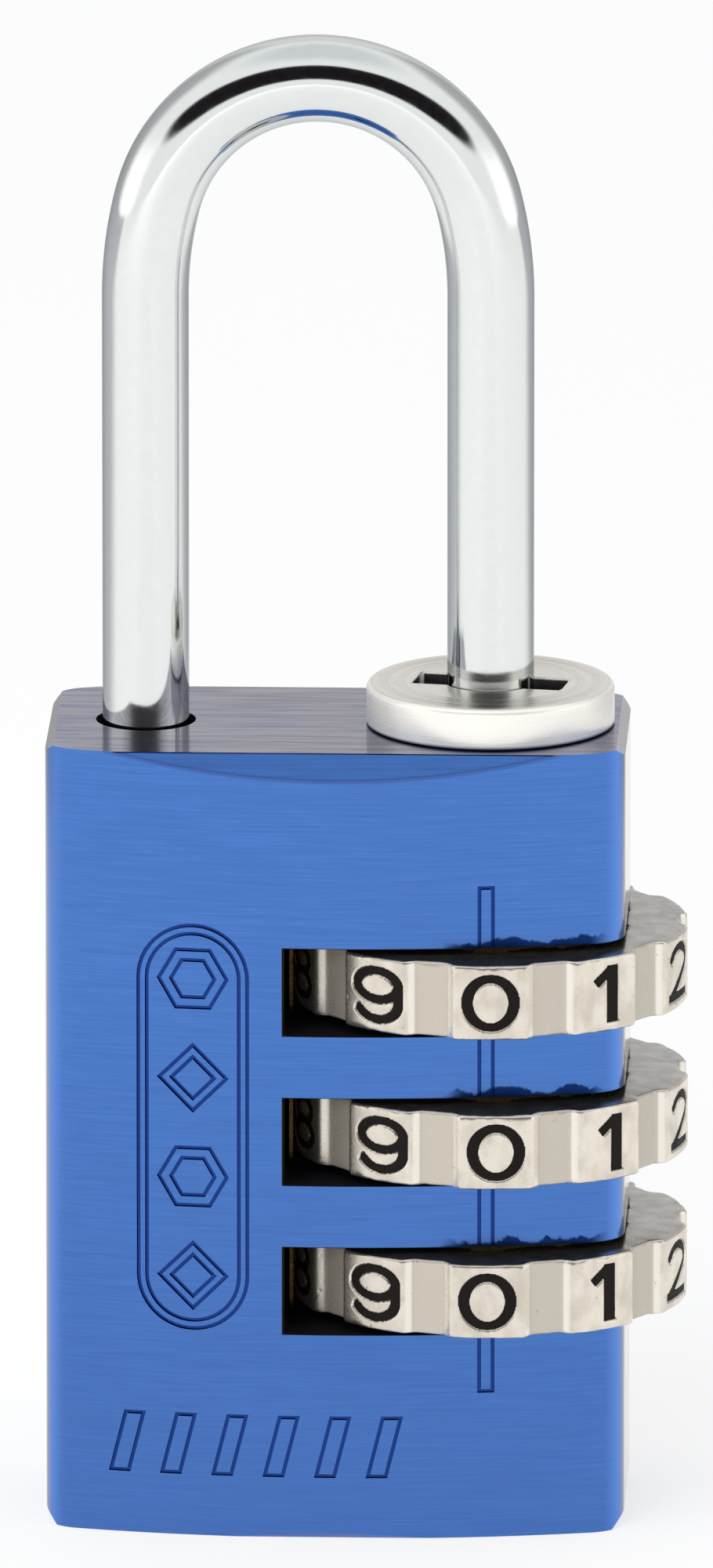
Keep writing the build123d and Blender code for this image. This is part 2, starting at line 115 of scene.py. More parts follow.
RIM_ROWS = 7
DIAL_ROWS = 52
DIAL_COLUMNS = 1080

# How deep the wear goes on a dial's casting.
WAVE_DEPTH = 0.006 * MM
DENT_DEPTH = 0.002 * MM
PIT_DEPTH = 0.02 * MM
RIM_WEAR = 0.05 * MM
RIM_WEAR_WIDTH = 0.24 * MM
RIM_DROP = 0.035 * MM

# ---- colours: linear red, green, blue and opacity ----
BLUE_BETWEEN_SCRATCHES = (0.023, 0.129, 0.470, 1)
BLUE_ON_SCRATCHES = (0.034, 0.172, 0.580, 1)
# painted shade: the blue that the face darkens to towards its foot
BLUE_PAINTED_SHADE_AT_FOOT = (0.014, 0.090, 0.380, 1)
# painted shade along the step under the top bevel
BLUE_PAINTED_BEVEL_SHADE = (0.008, 0.060, 0.300, 1)
# painted shade in the engraving's grooves
BLUE_PAINTED_GROOVE_SHADE = (0.006, 0.040, 0.230, 1)
# painted reflection: the dark navy of the dials and gap mirrored above each slot
BLUE_PAINTED_REFLECTION = (0.004, 0.020, 0.110, 1)
# painted highlight: the paler blue along the rounded upright edges
BLUE_PAINTED_EDGE_HIGHLIGHT = (0.055, 0.250, 0.800, 1)
BLUE_AT_GRAZING = (0.72, 0.52, 0.26, 1)
# painted shade: the near black inside the slots, pockets, bore and leg hole
PAINTED_SHADE_INSIDE = (0.001, 0.002, 0.006, 1)
CHROME_CLOUDS = ((0.74, 0.765, 0.75, 1), (0.80, 0.82, 0.81, 1))
CHROME_AT_GRAZING = (0.62, 0.62, 0.64, 1)
TURNED_RINGS = ((0.70, 0.67, 0.62, 1), (0.84, 0.81, 0.76, 1))
TURNED_STAIN = (0.46, 0.41, 0.35, 1)
# painted light: the brighter colour of the collar's upright side
TURNED_PAINTED_SIDE_LIGHT = (0.95, 0.92, 0.85, 1)
TURNED_SHADE = (0.020, 0.018, 0.020, 1)
CAST_BLOTCHES = ((0.80, 0.74, 0.65, 1), (0.64, 0.58, 0.50, 1))
# painted shade in the dial valleys, which are also given a duller, less metallic finish
CAST_VALLEY_PAINTED_SHADE = (0.53, 0.485, 0.415, 1)
# painted highlight on the dial valley walls
CAST_WALL_PAINTED_HIGHLIGHT = (0.90, 0.86, 0.78, 1)
CAST_PIT = (0.22, 0.17, 0.12, 1)
# painted shade: the darker colour of the dials' level top and bottom faces
CAST_FLAT_PAINTED_SHADE = ((0.38, 0.365, 0.34, 1), (0.24, 0.23, 0.21, 1))
PAINT_PATCHES = ((0.003, 0.002, 0.002, 1), (0.012, 0.008, 0.007, 1))
BRASS = ((0.14, 0.10, 0.04, 1), (0.30, 0.22, 0.09, 1))
# painted shade: a bronze far darker than bronze, for the leaves that sit in the slots' shade
BRONZE_IN_PAINTED_SHADE = ((0.05, 0.03, 0.012, 1), (0.16, 0.10, 0.04, 1))
SPRING_STEEL = ((0.22, 0.22, 0.23, 1), (0.45, 0.45, 0.46, 1))
ZINC = ((0.45, 0.45, 0.44, 1), (0.62, 0.62, 0.60, 1))
STUDIO_WHITE = (0.98, 0.99, 1.0, 1)
STUDIO_OVAL = (0.012, 0.010, 0.012, 1)
STUDIO_OVERHEAD = (0.74, 0.77, 0.79, 1)
STUDIO_BESIDE = (1.40, 1.40, 1.40, 1)
STUDIO_PAST_SIDE = (0.50, 0.50, 0.51, 1)
STUDIO_BEHIND = (0.90, 0.90, 0.90, 1)
FLOOR_SHEET = (0.30, 0.30, 0.30, 1)
FLOOR_GLOW = ((0.70, 0.70, 0.70, 1), (0.74, 0.74, 0.74, 1))  # near the lock and beside it
FLOOR_GREY_GLOW = (0.27, 0.28, 0.30, 1)


# ---- meshes ----


def mesh_object(name, points, faces, smooth=True):
    """A new object from arrays of points and faces."""
    data = bpy.data.meshes.new(name)
    data.from_pydata([tuple(point) for point in points], [], [tuple(face) for face in faces])
    data.polygons.foreach_set("use_smooth", [smooth] * len(data.polygons))
    data.update()
    thing = bpy.data.objects.new(name, data)
    bpy.context.scene.collection.objects.link(thing)
    return thing


def grid_faces(rows, columns, close_rows):
    """Quads over rows of points, closed round each row and, if asked, from last row to first."""
    faces = []
    for row in range(rows if close_rows else rows - 1):
        here = row * columns
        above = (row + 1) % rows * columns
        for column in range(columns):
            beside = (column + 1) % columns
            faces.append((here + column, here + beside, above + beside, above + column))
    return faces


def fan(ring, reverse):
    """One face over a ring of point numbers."""
    return tuple(reversed(ring)) if reverse else tuple(ring)


def smoothstep(low, high, value):
    t = np.clip((value - low) / (high - low), 0, 1)
    return t * t * (3 - 2 * t)


def ripple(points, scale, seed):
    """Smooth noise from -1 to 1 at each point, with features about as long as scale."""
    shift = Vector((seed * 17.3, seed * -9.1, seed * 5.7))
    return np.array([noise.noise(Vector(point) / scale + shift) for point in points])


# ---- shackle ----


def bow_centres():
    """(shoulder radius, its centre's distance from the middle, crown centre level)."""
    half = (LEG_X[1] - LEG_X[0]) / 2
    shoulder = (half - BOW_TOP_RADIUS * math.cos(SHOULDER_TURN)) / (1 - math.cos(SHOULDER_TURN))
    crown_level = BOW_SPRING_LEVEL + (shoulder - BOW_TOP_RADIUS) * math.sin(SHOULDER_TURN)
    return shoulder, half - shoulder, crown_level


def shackle_line():
    """Points and directions along the wire's centre line, from the long leg's tip."""
    shoulder, offset, crown_level = bow_centres()
    middle = sum(LEG_X) / 2
    line = [(Vector((LEG_X[1], 0, z)), Vector((0, 0, 1))) for z in leg_levels(SHACKLE_LOW.z)]
    arcs = [
        (offset, BOW_SPRING_LEVEL, shoulder, 0, SHOULDER_TURN, 24),
        (0, crown_level, BOW_TOP_RADIUS, SHOULDER_TURN, math.pi - SHOULDER_TURN, 150),
        (-offset, BOW_SPRING_LEVEL, shoulder, math.pi - SHOULDER_TURN, math.pi, 24),
    ]
    for centre_x, centre_z, radius, start, end, steps in arcs:
        for step in range(1, steps + 1):
            angle = start + (end - start) * step / steps
            place = Vector((middle + centre_x, 0, centre_z))
            place += radius * Vector((math.cos(angle), 0, math.sin(angle)))
            line.append((place, Vector((-math.sin(angle), 0, math.cos(angle)))))
    down = Vector((0, 0, -1))
    for z in reversed(leg_levels(SHORT_LEG_TIP)[:-1]):
        line.append((Vector((LEG_X[0], 0, z)), down))
    return line


def leg_levels(tip):
    """Levels up a leg from its tip to where the bow starts."""
    return list(np.linspace(tip + TIP_CHAMFER, BOW_SPRING_LEVEL, 40))


def shackle_mesh():
    """The bent wire with chamfered tips, and three pairs of wings on its long leg."""
    columns = 96
    sections = [(place, direction, LEG_RADIUS) for place, direction in shackle_line()]
    for index in (0, -1):
        place, direction, radius = sections[index]
        outwards = -direction if index == 0 else direction
        tip = (place + outwards * TIP_CHAMFER, direction, radius - TIP_CHAMFER)
        sections.insert(0 if index == 0 else len(sections), tip)
    points = []
    side = Vector((0, 1, 0))
    for place, direction, radius in sections:
        across = side.cross(direction)
        for column in range(columns):
            angle = math.tau * column / columns
            points.append(place + radius * (math.cos(angle) * across + math.sin(angle) * side))
    faces = grid_faces(len(sections), columns, False)
    last = (len(sections) - 1) * columns
    faces.append(fan(range(columns), True))
    faces.append(fan(range(last, last + columns), False))
    for number in range(len(DIALS)):
        add_lug(points, faces, TOP_LUG_LEVEL - number * DIAL_PITCH)
    thing = mesh_object("shackle_wire", points, faces)
    thing.data.set_sharp_from_angle(angle=math.radians(30))
    return thing


def add_lug(points, faces, top):
    """A pair of wings under a level, wide at the front and narrow at the back."""
    outline = []
    for side, half_width in zip((-1, 1), LUG_HALF_WIDTHS):
        reach = math.asin(half_width / LUG_REACH)
        for angle in np.linspace(-reach, reach, 9):
            x = AXIS_X + LUG_REACH * math.sin(angle) * -side
            outline.append((x, side * LUG_REACH * math.cos(angle)))
    start = len(points)
    count = len(outline)
    for level in (top - LUG_HEIGHT, top):
        points += [(x, y, level) for x, y in outline]
    for index in range(count):
        beside = (index + 1) % count
        faces.append((start + index, start + beside, start + count + beside, start + count + index))
    faces.append(fan(range(start, start + count), True))
    faces.append(fan(range(start + count, start + 2 * count), False))


# ---- collar ----

COLLAR_LOW, COLLAR_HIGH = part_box("collar")
COLLAR_RADIUS = COLLAR_HIGH.y
COLLAR_CAVITY_RADIUS = 2.65 * MM
COLLAR_CAVITY_TOP = 26.1 * MM
COLLAR_BORE_RADIUS = 1.58 * MM
COLLAR_SLOT = (5.25 * MM, 1.76 * MM)
COLLAR_SLOT_TURN = math.radians(-10)
COLLAR_GROOVES = (0, 0.012, 0.004, 0.016, 0.002, 0.009, 0.018)  # mm deep, from the rim inwards


def slot_reach(angle):
    """How far the collar's bore reaches at an angle, slot and all."""
    along = abs(math.cos(angle - COLLAR_SLOT_TURN))
    across = abs(math.sin(angle - COLLAR_SLOT_TURN))
    reach = min(COLLAR_SLOT[0] / 2 / max(along, 1e-9), COLLAR_SLOT[1] / 2 / max(across, 1e-9))
    return max(COLLAR_BORE_RADIUS, reach)


def arc_points(centre, radius, start, end, steps):
    """Points (radius, level) on an arc of a profile, angles in degrees from outwards to up."""
    angles = np.radians(np.linspace(start, end, steps))
    return [(centre[0] + radius * math.cos(a), centre[1] + radius * math.sin(a)) for a in angles]


def collar_mesh():
    """A turned ring with rounded rims, whose bore has a slot across it."""
    top = COLLAR_HIGH.z
    lip = 0.03 * MM
    shoulder = 0.24 * MM
    under = 0.08 * MM
    rim = arc_points((COLLAR_RADIUS - shoulder, top - shoulder), shoulder, 8, 82, 9)
    foot = arc_points((COLLAR_RADIUS - under, BODY_TOP + under), under, -90, 0, 5)
    outside = [(COUNTERBORE_RADIUS, COLLAR_LOW.z), (COUNTERBORE_RADIUS, BODY_TOP), *foot, *rim]
    face = []
    for step, radius in enumerate(np.linspace(COLLAR_RADIUS - shoulder - 0.05 * MM, 2.72 * MM, 26)):
        groove = COLLAR_GROOVES[step % len(COLLAR_GROOVES)] * MM
        face.append((radius, top - groove))
    corner = math.atan2(COLLAR_SLOT[1], COLLAR_SLOT[0])
    meeting = math.asin(COLLAR_SLOT[1] / 2 / COLLAR_BORE_RADIUS)
    angles = set(np.linspace(0, math.tau, 360, endpoint=False))
    for turn in (corner, meeting):
        for base in (COLLAR_SLOT_TURN, COLLAR_SLOT_TURN + math.pi):
            angles |= {(base - turn) % math.tau, (base + turn) % math.tau}
    angles = sorted(angles)
    bores = np.array([slot_reach(angle) for angle in angles])
    rows = [(np.full(len(angles), radius), level) for radius, level in outside + face]
    rows += [(bores + lip, top), (bores, top - lip), (bores, COLLAR_CAVITY_TOP)]
    cavity = np.maximum(bores, COLLAR_CAVITY_RADIUS)
    rows += [(cavity, COLLAR_CAVITY_TOP), (cavity, COLLAR_LOW.z)]
    points = []
    for radii, level in rows:
        for radius, angle in zip(radii, angles):
            points.append((AXIS_X + radius * math.cos(angle), radius * math.sin(angle), level))
    thing = mesh_object("collar_ring", points, grid_faces(len(rows), len(angles), True))
    thing.data.set_sharp_from_angle(angle=math.radians(35))
    return thing


# ---- dials ----


def dial_plan(angles):
    """The dial's outer radius at each angle from its first number: curved faces, soft valleys."""
    fine = 7200
    samples = np.arange(fine) * math.tau / fine
    from_face = np.abs((samples + NUMBER_STEP / 2) % NUMBER_STEP - NUMBER_STEP / 2)
    from_valley = NUMBER_STEP / 2 - from_face
    floor = VALLEY_RADIUS * math.cos(VALLEY_HALF_ANGLE) / np.cos(from_valley)
    wall = (from_face - FACE_HALF_ANGLE) / (NUMBER_STEP / 2 - VALLEY_HALF_ANGLE - FACE_HALF_ANGLE)
    radius = DIAL_RADIUS + (VALLEY_RADIUS - DIAL_RADIUS) * np.clip(wall, 0, 1)
    radius = np.where(wall > 1, floor, radius)
    spread = PLAN_SOFTNESS / DIAL_RADIUS / (math.tau / fine)
    reach = 40
    kernel = np.exp(-0.5 * (np.arange(-reach, reach + 1) / spread) ** 2)
    padded = np.concatenate([radius[-reach:], radius, radius[:reach]])
    soft = np.convolve(padded, kernel / kernel.sum(), "valid")
    return np.interp(angles % math.tau, np.append(samples, math.tau), np.append(soft, soft[0]))


def dial_profile():
    """(inset from the outline, level from the dial's middle) up the outer wall, rims rounded."""
    rim = RIM_ROUND
    half = DIAL_HEIGHT / 2
    turn = np.linspace(0, math.pi / 2, RIM_ROWS)
    lower = [(rim - rim * math.sin(a), -half + rim - rim * math.cos(a)) for a in turn]
    wall = [(0.0, level) for level in np.linspace(-half + rim, half - rim, DIAL_ROWS)[1:-1]]
    return lower + wall + [(inset, -level) for inset, level in reversed(lower)]


def dial_mesh(which):
    """A dial as rows of points round its section: outer wall, top, bore, bottom."""
    name = f"dial_{which}"
    centre = Vector(JOINTS[f"{name}_spin"]["pos_m"])
    low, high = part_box(name)
    angles = np.arange(DIAL_COLUMNS) * math.tau / DIAL_COLUMNS
    facing = angles + math.radians(REST_TURN[which] - 90)
    plan = dial_plan(angles)
    profile = dial_profile()
    seed = DIALS.index(which) + 1
    half = DIAL_HEIGHT / 2
    rows = [(plan - inset, np.full(DIAL_COLUMNS, level)) for inset, level in profile]
    wall_rows = len(rows)
    notch = NOTCH_WIDTH / 2 / NOTCH_RADIUS
    near = np.abs((angles + NUMBER_STEP / 2) % NUMBER_STEP - NUMBER_STEP / 2)
    bore = np.where(near < notch, NOTCH_RADIUS, DIAL_BORE_RADIUS)
    edge = plan - profile[-1][0]
    for share in (0.12, 0.3, 0.55):
        rows.append((edge + (bore - edge) * share, np.full(DIAL_COLUMNS, half)))
    band = half - BAND_HEIGHT
    relief = np.full(DIAL_COLUMNS, RELIEF_RADIUS)
    for radii, level in ((bore, half), (bore, band), (relief, band), (relief, -half)):
        rows.append((radii, np.full(DIAL_COLUMNS, level)))
    for share in (0.45, 0.75, 0.9):
        rows.append((relief + (edge - relief) * share, np.full(DIAL_COLUMNS, -half)))
    radii = np.array([radius for radius, _ in rows])
    levels = np.array([level for _, level in rows])
    directions = np.stack([np.cos(facing), np.sin(facing)])
    wear_wall(radii, levels, facing, wall_rows, seed)
    engrave(radii[:wall_rows], levels[:wall_rows], directions, centre, f"digits_{which}")
    x = centre.x + radii * directions[0]
    y = centre.y + radii * directions[1]
    z = centre.z + levels
    points = np.stack([x, y, z], axis=-1).reshape(-1, 3)
    points = np.clip(points, np.array(low), np.array(high))
    return mesh_object(f"{name}_casting", points, grid_faces(len(rows), DIAL_COLUMNS, True))


def wear_wall(radii, levels, facing, wall_rows, seed):
    """Gives a cast dial its uneven rims, soft dents and small pits, always inwards."""
    wall = np.s_[:wall_rows]
    x = DIAL_RADIUS * np.cos(facing)
    y = DIAL_RADIUS * np.sin(facing)
    shape = levels[wall].shape
    points = np.stack(
        [np.broadcast_to(x, shape), np.broadcast_to(y, shape), levels[wall]], axis=-1
    ).reshape(-1, 3)
    waves = ripple(points, 1.1 * MM, seed).reshape(shape)
    dents = ripple(points, 0.33 * MM, seed + 5).reshape(shape)
    pits = ripple(points, 0.11 * MM, seed + 11).reshape(shape)
    half = DIAL_HEIGHT / 2
    from_rim = half - np.abs(levels[wall])
    at_rim = 1 - smoothstep(0, RIM_WEAR_WIDTH, from_rim)
    inwards = WAVE_DEPTH * (1 + waves) / 2
    inwards += DENT_DEPTH * (1 + dents) / 2
    inwards += PIT_DEPTH * smoothstep(0.62, 0.75, pits)
    inwards += at_rim * RIM_WEAR * smoothstep(-0.2, 0.7, waves + 0.6 * dents)
    radii[wall] -= inwards
    ring = np.stack([x, y, np.full(len(x), seed * half)], axis=-1)
    rim_wave = ripple(ring, 0.8 * MM, seed + 21)
    drop = RIM_DROP * (1 + rim_wave) / 2
    fade = np.linspace(0.2, 1, RIM_ROWS)[:, None]
    levels[wall_rows - RIM_ROWS : wall_rows] -= drop * fade
    levels[:RIM_ROWS] += drop * fade[::-1]


def engrave(radii, levels, directions, centre, digits_node):
    """Sinks the wall wherever the number's paint lies, with a softened lip round it."""
    digits = frame["nodes"][digits_node].data
    vertices = [vertex.co for vertex in digits.vertices]
    tree = BVHTree.FromPolygons(vertices, [tuple(face.vertices) for face in digits.polygons])
    clear = 0.12 * MM  # no number comes this near to a rim, or lies this deep
    for row in range(len(radii)):
        if abs(levels[row][0]) > DIAL_HEIGHT / 2 - clear:
            continue
        for column in range(DIAL_COLUMNS):
            if radii[row][column] < DIAL_RADIUS - clear:
                continue
            x = centre.x + radii[row][column] * directions[0][column]
            y = centre.y + radii[row][column] * directions[1][column]
            found = tree.find_nearest(Vector((x, y, centre.z + levels[row][column])), LIP_WIDTH * 3)
            if found[0] is None:
                continue
            aside = math.sqrt(max(found[3] ** 2 - PAINT_DROP**2, 0))
            share = 1 - aside / LIP_WIDTH
            if share > 0:
                radii[row][column] -= NUMBER_DEPTH * share * share * (3 - 2 * share)


# ---- materials ----


class Nodes:
    """Short calls that add nodes to one material's or the world's tree."""

    def __init__(self, tree):
        self.tree = tree

    def add(self, kind, inputs=None, **settings):
        node = self.tree.nodes.new(kind)
        for name, value in settings.items():
            setattr(node, name, value)
        for name, value in (inputs or {}).items():
            self.put(node.inputs[name], value)
        return node

    def put(self, socket, value):
        if isinstance(value, bpy.types.NodeSocket):
            self.tree.links.new(value, socket)
        else:
            socket.default_value = value

    def math(self, operation, *values):
        inputs = dict(enumerate(values))
        return self.add("ShaderNodeMath", inputs, operation=operation).outputs[0]

    def size(self, value):
        """The value without its sign."""
        return self.math("ABSOLUTE", value)

    def rest(self, share):
        """What is left of 1 after a share."""
        return self.math("SUBTRACT", 1.0, share)

    def largest(self, *values):
        """The largest of the values at each place."""
        result = values[0]
        for value in values[1:]:
            result = self.math("MAXIMUM", result, value)
        return result

    def coordinates(self, stretch=(1, 1, 1)):
        """Places on the piece in millimetres, times a stretch."""
        source = self.add("ShaderNodeTexCoord").outputs["Object"]
        scale = [factor / MM for factor in stretch]
        inputs = {0: source, 1: scale}
        return self.add("ShaderNodeVectorMath", inputs, operation="MULTIPLY").outputs[0]

    def split(self, vector):
        return self.add("ShaderNodeSeparateXYZ", {0: vector}).outputs

    def noise(self, vector, scale, detail, roughness=0.55):
        inputs = {"Vector": vector, "Scale": scale, "Detail": detail, "Roughness": roughness}
        return self.add("ShaderNodeTexNoise", inputs).outputs["Fac"]

    def ramp(self, value, low, high, start=0.0, end=1.0):
        """A smooth step from start to end as value goes from low to high."""
        inputs = {0: value, 1: low, 2: high, 3: start, 4: end}
        return self.add("ShaderNodeMapRange", inputs, interpolation_type="SMOOTHSTEP").outputs[0]

    def product(self, *values):
        """All the values times each other."""
        result = values[0]
        for value in values[1:]:
            result = self.math("MULTIPLY", result, value)
        return result

    def distance(self, x, y, centre_x):
        """Distance in plan from an upright axis at centre_x, in millimetres."""
        along = self.math("SUBTRACT", x, centre_x)
        return self.math("SQRT", self.math("ADD", self.product(along, along), self.product(y, y)))

    def mix(self, share, first, second):
        node = self.add("ShaderNodeMix", data_type="RGBA")
        self.put(node.inputs["Factor"], share)
        self.put(node.inputs[6], first)
        self.put(node.inputs[7], second)
        return node.outputs[2]

    def bump(self, height, distance, strength):
        inputs = {"Height": height, "Distance": distance, "Strength": strength}
        return self.add("ShaderNodeBump", inputs).outputs["Normal"]


def new_material(name):
    """A material with only its shader, and the shader's node."""
    material = bpy.data.materials.new(name)
    material.use_nodes = True
    nodes = Nodes(material.node_tree)
    shader = material.node_tree.nodes["Principled BSDF"]
    return material, nodes, shader


def feed(nodes, shader, **sockets):
    """Sets or links the shader's sockets by name, with spaces written as underscores."""
    for name, value in sockets.items():
        nodes.put(shader.inputs[name.replace("_", " ")], value)


def anodised(name):
    """Blue anodised aluminium with fine straight brushing, with painted shade in its slots and
    engraving.
    """
    material, nodes, shader = new_material(name)
    lines = brushing(nodes)
    colour = nodes.mix(nodes.ramp(lines, 0.30, 0.70), BLUE_BETWEEN_SCRATCHES, BLUE_ON_SCRATCHES)
    x, y, z = nodes.split(nodes.coordinates())
    # painted shade: the face is made darker towards the foot of the block
    colour = nodes.mix(nodes.ramp(z, 1.0, 21.0, 0.30, 0.0), colour, BLUE_PAINTED_SHADE_AT_FOOT)
    depth = depth_below_face(nodes, x, y)
    # painted shade: a thin dark line under the top bevel
    colour = nodes.mix(painted_bevel_shade(nodes, depth, y, z), colour, BLUE_PAINTED_BEVEL_SHADE)
    engraved = engraved_share(nodes, depth, x, z)
    # painted shade: the engraving's floors and walls are darkened
    colour = nodes.mix(engraved, colour, BLUE_PAINTED_GROOVE_SHADE)
    # painted reflection: dark patches above each slot, with the clear coat taken off there
    reflection_share = painted_dark_reflections(nodes, x, z)
    colour = nodes.mix(reflection_share, colour, BLUE_PAINTED_REFLECTION)
    # painted highlight on the rounded upright edges
    colour = nodes.mix(painted_edge_highlight(nodes, x, y), colour, BLUE_PAINTED_EDGE_HIGHLIGHT)
    # painted shade: the insides are painted near black
    shaded_inside = painted_shade_inside_share(nodes, depth, x, y, z)
    colour = nodes.mix(shaded_inside, colour, PAINTED_SHADE_INSIDE)
    satin = nodes.ramp(lines, 0.3, 0.7, 0.20, 0.27)
    feed(
        nodes,
        shader,
        Base_Color=colour,
        Metallic=nodes.rest(shaded_inside),
        Roughness=nodes.largest(satin, nodes.product(shaded_inside, 0.9)),
        Specular_Tint=BLUE_AT_GRAZING,
        Anisotropic=0.4,
        Coat_Weight=coat_share(nodes, lines, engraved, reflection_share, shaded_inside),
        Coat_Roughness=0.08,
        Coat_IOR=1.55,
        Normal=nodes.bump(lines, 0.005 * MM, 0.5),
        Coat_Normal=nodes.bump(lines, 0.004 * MM, 0.5),
    )
    return material


def coat_share(nodes, lines, engraved, reflection_share, shaded_inside):
    """How much of the clear oxide is left: little in the engraving, almost none under the painted
    dark reflections, none in the slots.
    """
    streaks = nodes.product(level_share(nodes), nodes.ramp(lines, 0.42, 0.60, 0.0, 0.42))
    return nodes.rest(nodes.largest(streaks, nodes.product(engraved, 0.8), reflection_share, shaded_inside))


def painted_edge_highlight(nodes, x, y):
    """Painted highlight: how far the blue is made paler along the rounded upright edges."""
    outwards = nodes.ramp(nodes.size(x), 9.3, 9.9, 0.0, 0.7)
    return nodes.product(outwards, nodes.ramp(nodes.size(y), 2.4, 3.4))


def level_share(nodes):
    """1 where a piece faces straight up or down, 0 on its upright faces."""
    facing = nodes.split(nodes.add("ShaderNodeNewGeometry").outputs["Normal"])[2]
    return nodes.ramp(nodes.size(facing), 0.80, 0.95)


def brushing(nodes):
    """Scratches along the block: level on its sides, from left to right on its top and bottom."""
    flat = level_share(nodes)
    layers = []
    # Each layer has its steps per millimetre along and across, and its share of the whole.
    for along, across, share in ((0.22, 9.0, 0.35), (0.5, 24.0, 0.65)):
        on_side = nodes.noise(nodes.coordinates((along, along, across)), 1.0, 2.0)
        on_top = nodes.noise(nodes.coordinates((along / 2, across / 4, along / 2)), 1.0, 2.0)
        shift = nodes.product(flat, nodes.math("SUBTRACT", on_top, on_side))
        layers.append(nodes.product(nodes.math("ADD", on_side, shift), share))
    return nodes.math("ADD", *layers)


def depth_below_face(nodes, x, y):
    """How far a place lies under the convex front or back face, in millimetres."""
    radius = FACE_RADIUS / MM
    root = nodes.math("SQRT", nodes.math("SUBTRACT", radius**2, nodes.product(x, x)))
    surface = nodes.math("ADD", root, HALF_DEPTH / MM - radius)
    return nodes.math("SUBTRACT", surface, nodes.size(y))


def painted_bevel_shade(nodes, depth, y, z):
    """Painted shade: a thin dark line where the top bevel meets the face."""
    top = BODY_TOP / MM
    bevel = (HALF_DEPTH + BODY_TOP - TOP_BEVEL) / MM
    past = nodes.math("SUBTRACT", nodes.math("ADD", nodes.size(y), z), bevel)
    close = nodes.ramp(nodes.size(past), 0.06, 0.12, 1.0, 0.0)
    shallow = nodes.ramp(depth, 0.06, 0.14, 1.0, 0.0)
    near_top = nodes.ramp(z, top - 2.0, top - 1.8)
    return nodes.product(close, shallow, near_top, 0.6)


def engraved_share(nodes, depth, x, z):
    """1 on the floors and walls of the engraving, 0 elsewhere on the body."""
    top = BODY_TOP / MM
    below = nodes.ramp(depth, 0.02, 0.06)
    not_deep = nodes.ramp(depth, 0.13, 0.20, 1.0, 0.0)
    under_bevel = nodes.ramp(z, top - 1.1, top - 1.0, 1.0, 0.0)
    above_bevel = nodes.ramp(z, 0.2, 0.4)
    inside = nodes.ramp(nodes.size(x), 8.3, 8.4, 1.0, 0.0)
    return nodes.product(below, not_deep, under_bevel, above_bevel, inside)


def from_slot(nodes, z):
    """Height above the middle of the nearest slot, in millimetres."""
    heights = [nodes.math("SUBTRACT", z, level / MM) for level in DIAL_LEVELS]
    nearest = heights[0]
    for height in heights[1:]:
        closer = nodes.math("LESS_THAN", nodes.size(height), nodes.size(nearest))
        shift = nodes.product(closer, nodes.math("SUBTRACT", height, nearest))
        nearest = nodes.math("ADD", nearest, shift)
    return nearest


def painted_dark_reflections(nodes, x, z):
    """Painted reflection: darkened patches on the face just above each slot, where it mirrors the
    dials and the dark gap above them.
    """
    above = nodes.math("SUBTRACT", from_slot(nodes, z), SLOT_HEIGHT / 2 / MM)
    ragged = nodes.noise(nodes.coordinates((0.9, 0.2, 0.45)), 1.0, 5.0, 0.6)
    reach = nodes.ramp(ragged, 0.34, 0.66, 0.12, 0.42)
    edge = nodes.math("SUBTRACT", reach, above)
    wide = nodes.product(nodes.ramp(x, 3.7, 4.6), nodes.ramp(x, 8.8, 9.6, 1.0, 0.0))
    tall = nodes.product(nodes.ramp(above, -0.02, 0.0), nodes.ramp(above, 0.50, 0.60, 1.0, 0.0))
    return nodes.product(nodes.ramp(edge, -0.02, 0.08), wide, tall, 0.96)


def painted_shade_inside_share(nodes, depth, x, y, z):
    """1 in the slots, pockets, bore and leg hole, where the block is unpolished and painted near
    black as shade.
    """
    top, half, left, back = (v / MM for v in (BODY_TOP, SLOT_HEIGHT / 2, SLOT_LEFT, POCKET_BACK))
    deep = nodes.ramp(depth, 0.3, 0.4)
    level = nodes.ramp(nodes.size(from_slot(nodes, z)), half + 0.01, half + 0.03, 1.0, 0.0)
    in_slot = nodes.ramp(x, left - 0.06, left - 0.02)
    in_pocket = nodes.product(nodes.ramp(x, back - 0.1, back - 0.05), deep)
    slot = nodes.product(level, nodes.largest(in_slot, in_pocket))
    below_top = nodes.ramp(z, top - 0.03, top - 0.01, 1.0, 0.0)
    bore_edge = COUNTERBORE_RADIUS / MM + 0.03
    bore = nodes.ramp(nodes.distance(x, y, AXIS_X / MM), bore_edge, bore_edge + 0.04, 1.0, 0.0)
    hole_edge = LEG_HOLE_RADIUS / MM + 0.02
    hole = nodes.ramp(nodes.distance(x, y, LEG_X[0] / MM), hole_edge, hole_edge + 0.03, 1.0, 0.0)
    return nodes.largest(slot, nodes.product(nodes.largest(bore, hole), below_top, deep))


def chrome(name):
    """Polished chrome plate with faint waves under it."""
    material, nodes, shader = new_material(name)
    waves = nodes.noise(nodes.coordinates(), 0.5, 1.0)
    haze = nodes.noise(nodes.coordinates(), 3.0, 4.0)
    feed(
        nodes,
        shader,
        Base_Color=nodes.mix(haze, *CHROME_CLOUDS),
        Metallic=1.0,
        Roughness=nodes.ramp(haze, 0.3, 0.8, 0.07, 0.12),
        Specular_Tint=CHROME_AT_GRAZING,
        Normal=nodes.bump(waves, 0.05 * MM, 0.15),
    )
    return material


